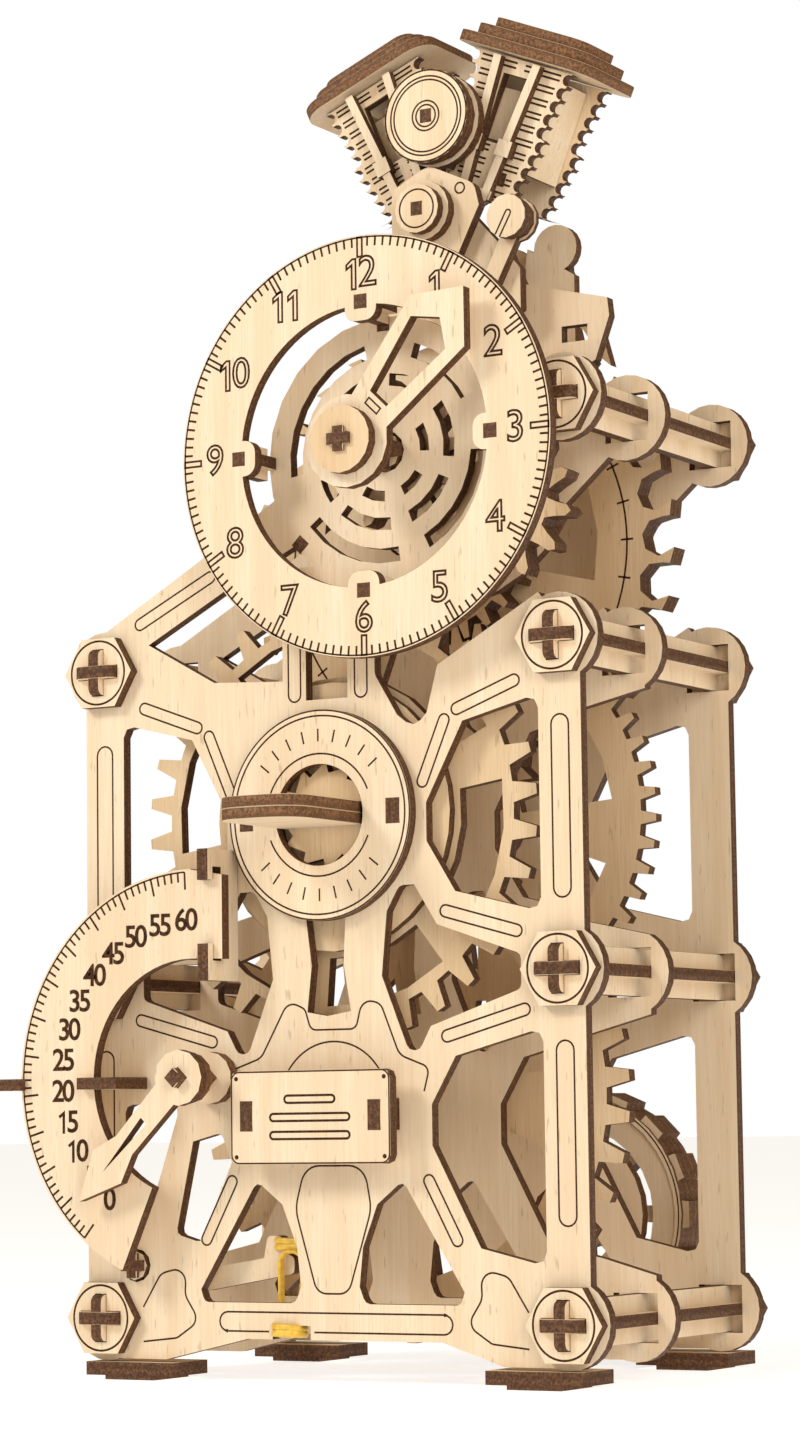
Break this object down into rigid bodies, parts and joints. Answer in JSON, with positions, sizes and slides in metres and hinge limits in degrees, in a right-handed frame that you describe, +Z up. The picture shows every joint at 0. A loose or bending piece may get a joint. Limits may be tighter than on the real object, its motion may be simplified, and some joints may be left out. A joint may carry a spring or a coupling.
{
  "type": "wooden mechanical clock puzzle",
  "caption": "Laser-cut plywood table clock with an hour dial, a minute hand on an arc, a winding key, open gears, a wheel-shaped pendulum and a V-shaped engine on top.",
  "frame": {"origin": "centre of the box round the object, on the plane of the feet", "axes": "+X to the right seen from the dial side, +Y from the dial towards the pendulum, +Z up"},
  "size_m": [0.1618, 0.1348, 0.3306],
  "materials": {
    "plywood": "bare birch plywood with burnt laser-cut edges",
    "face_plywood": "bare birch plywood face with engraved lines",
    "wheel_plywood": "bare birch plywood, toothed edge",
    "engine_plywood": "bare birch plywood with engraved fins",
    "burnt_plywood": "laminated plywood seen on its burnt edge",
    "rubber": "yellow rubber band"
  },
  "bodies": {
    "frame": {"frame_front_plate": "plywood", "frame_middle_plate": "plywood", "frame_back_plate": "plywood", "column_r1": "plywood", "column_r2": "plywood", "column_r3": "plywood", "column_r4": "plywood", "column_l1": "plywood", "column_l2": "plywood", "column_l3": "plywood", "nut_r1": "face_plywood", "nut_r2": "face_plywood", "nut_r3": "face_plywood", "nut_r4": "face_plywood", "nut_l1": "face_plywood", "nut_l2": "face_plywood", "nut_l3": "face_plywood", "foot_front_left": "plywood", "foot_front_right": "plywood", "foot_rear_left": "plywood", "foot_rear_right": "plywood", "dial_ring": "face_plywood", "minute_arc": "face_plywood", "arc_slat": "plywood", "arc_bracket": "plywood", "plaque": "face_plywood", "rubber_band": "rubber", "crankcase_front": "engine_plywood", "crankcase": "engine_plywood", "air_filter": "face_plywood", "timing_cover": "face_plywood", "oil_filter": "face_plywood", "exhaust_lobe": "engine_plywood", "cylinder_left": "engine_plywood", "cylinder_right": "engine_plywood", "valve_cover_left": "burnt_plywood", "valve_cover_right": "burnt_plywood", "push_rods_left": "engine_plywood", "push_rods_right": "engine_plywood"},
    "hour": {"hour_hand": "face_plywood", "hour_arbor": "wheel_plywood"},
    "petal": {"petal_wheel": "wheel_plywood"},
    "key": {"key_disk": "face_plywood", "key_thumb": "burnt_plywood", "key_ratchet": "wheel_plywood"},
    "great": {"great_wheel": "wheel_plywood", "cover_disc": "wheel_plywood"},
    "low": {"low_wheel": "wheel_plywood"},
    "rear": {"rear_wheel": "wheel_plywood"},
    "escape": {"escape_wheel": "wheel_plywood"},
    "minute": {"minute_hand": "face_plywood", "minute_arbor": "wheel_plywood"},
    "lever_arm": {"lever": "plywood"},
    "pendulum": {"anchor": "wheel_plywood", "pendulum_rod": "plywood", "pendulum_rim": "plywood", "pendulum_tyre": "burnt_plywood"},
    "piston_l": {"piston_left": "engine_plywood"},
    "piston_r": {"piston_right": "engine_plywood"}
  },
  "joints": [
    {"name": "hour_turn", "type": "hinge", "parent": "frame", "child": "hour", "pos_m": [0.0234, -0.0267, 0.2183], "axis": [0, 1, 0], "continuous": true},
    {"name": "petal_turn", "type": "hinge", "parent": "frame", "child": "petal", "pos_m": [0.0516, -0.0267, 0.2043], "axis": [0, 1, 0], "continuous": true},
    {"name": "key_turn", "type": "hinge", "parent": "frame", "child": "key", "pos_m": [0.0056, -0.0267, 0.1329], "axis": [0, 1, 0], "continuous": true},
    {"name": "escape_turn", "type": "hinge", "parent": "frame", "child": "escape", "pos_m": [0.008, -0.0267, 0.2022], "axis": [0, 1, 0], "continuous": true},
    {"name": "rear_turn", "type": "hinge", "parent": "frame", "child": "rear", "pos_m": [0.0167, -0.0267, 0.1348], "axis": [0, 1, 0], "continuous": true},
    {"name": "low_turn", "type": "hinge", "parent": "frame", "child": "low", "pos_m": [0.0044, -0.0267, 0.0669], "axis": [0, 1, 0], "continuous": true},
    {"name": "great_turn", "type": "hinge", "parent": "frame", "child": "great", "pos_m": [0.0056, -0.0267, 0.1329], "axis": [0, 1, 0], "continuous": true},
    {"name": "minute_turn", "type": "hinge", "parent": "frame", "child": "minute", "pos_m": [-0.0254, -0.0267, 0.0716], "axis": [0, 1, 0], "range_deg": [-5, 132]},
    {"name": "lever_tilt", "type": "hinge", "parent": "frame", "child": "lever_arm", "pos_m": [-0.0489, -0.0267, 0.0271], "axis": [0, 1, 0], "range_deg": [-3, 3]},
    {"name": "pendulum_swing", "type": "hinge", "parent": "frame", "child": "pendulum", "pos_m": [0.0234, -0.0267, 0.2726], "axis": [0, 1, 0], "range_deg": [-2.5, 2.5]},
    {"name": "piston_left_slide", "type": "slide", "parent": "frame", "child": "piston_l", "axis": [-0.3827, 0, 0.9239], "range_m": [-0.004, 0.004]},
    {"name": "piston_right_slide", "type": "slide", "parent": "frame", "child": "piston_r", "axis": [0.3827, 0, 0.9239], "range_m": [-0.004, 0.004]}
  ],
  "couplings": [
    {"joint": "petal_turn", "follows": "hour_turn", "ratio": -1},
    {"joint": "rear_turn", "follows": "escape_turn", "ratio": -0.44681},
    {"joint": "low_turn", "follows": "escape_turn", "ratio": 0.094065},
    {"joint": "great_turn", "follows": "escape_turn", "ratio": -0.027666}
  ]
}
